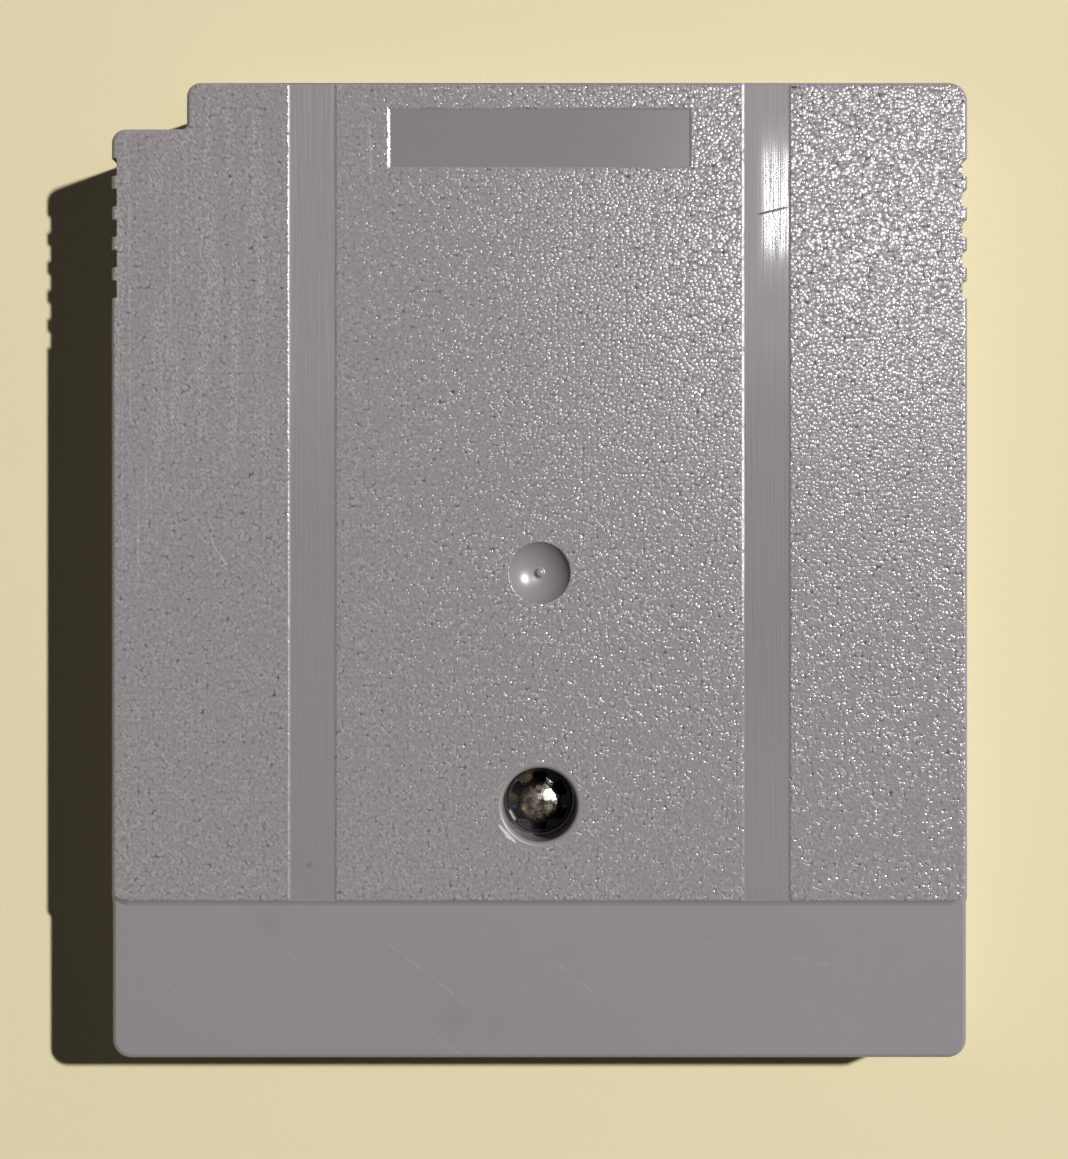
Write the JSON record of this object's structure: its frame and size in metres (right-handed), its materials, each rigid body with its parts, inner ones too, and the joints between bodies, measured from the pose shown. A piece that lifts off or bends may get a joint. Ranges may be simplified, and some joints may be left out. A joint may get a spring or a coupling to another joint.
{
  "type": "game cartridge",
  "caption": "Grey handheld game cartridge: two moulded shells held by a security screw, guide grooves, grip notches, keyed corner and an open edge connector slot.",
  "frame": {"origin": "middle of the front (label side) face, which lies on the floor plane", "axes": "+X across the cartridge to the right as seen from the rear, +Y from the connector edge to the top edge, +Z out of the rear face"},
  "size_m": [0.057, 0.065, 0.0078],
  "materials": {
    "shell_plastic": "fine spark grain on the panel, smooth in the grooves, name place and lower band",
    "screw_steel": "dark nickel, bright on the worn dome",
    "board_laminate": "green solder mask on glass fibre laminate",
    "contact_plating": "gold flash, lightly rubbed",
    "chip_moulding": "fine matt moulding compound",
    "lead_tin": "tin plate",
    "cell_steel": "brushed nickel plated can",
    "strip_nickel": "rolled nickel strip",
    "capacitor_ceramic": "fired ceramic",
    "resistor_glaze": "dark glaze",
    "end_plating": "tin plate"
  },
  "bodies": {
    "root": {"rear_shell": "shell_plastic", "front_shell": "shell_plastic", "case_screw": "screw_steel", "circuit_board": "board_laminate", "edge_contacts": "contact_plating", "rom_chip": "chip_moulding", "ram_chip": "chip_moulding", "bank_switch_chip": "chip_moulding", "reset_chip": "chip_moulding", "rom_chip_leads": "lead_tin", "ram_chip_leads": "lead_tin", "bank_switch_chip_leads": "lead_tin", "reset_chip_leads": "lead_tin", "backup_cell": "cell_steel", "cell_positive_tab": "strip_nickel", "cell_negative_tab": "strip_nickel", "chip_capacitor_1": "capacitor_ceramic", "chip_capacitor_2": "capacitor_ceramic", "chip_capacitor_3": "capacitor_ceramic", "chip_capacitor_4": "capacitor_ceramic", "chip_resistor_1": "resistor_glaze", "chip_resistor_2": "resistor_glaze", "chip_capacitor_1_ends": "end_plating", "chip_capacitor_2_ends": "end_plating", "chip_capacitor_3_ends": "end_plating", "chip_capacitor_4_ends": "end_plating", "chip_resistor_1_ends": "end_plating", "chip_resistor_2_ends": "end_plating"}
  },
  "joints": []
}
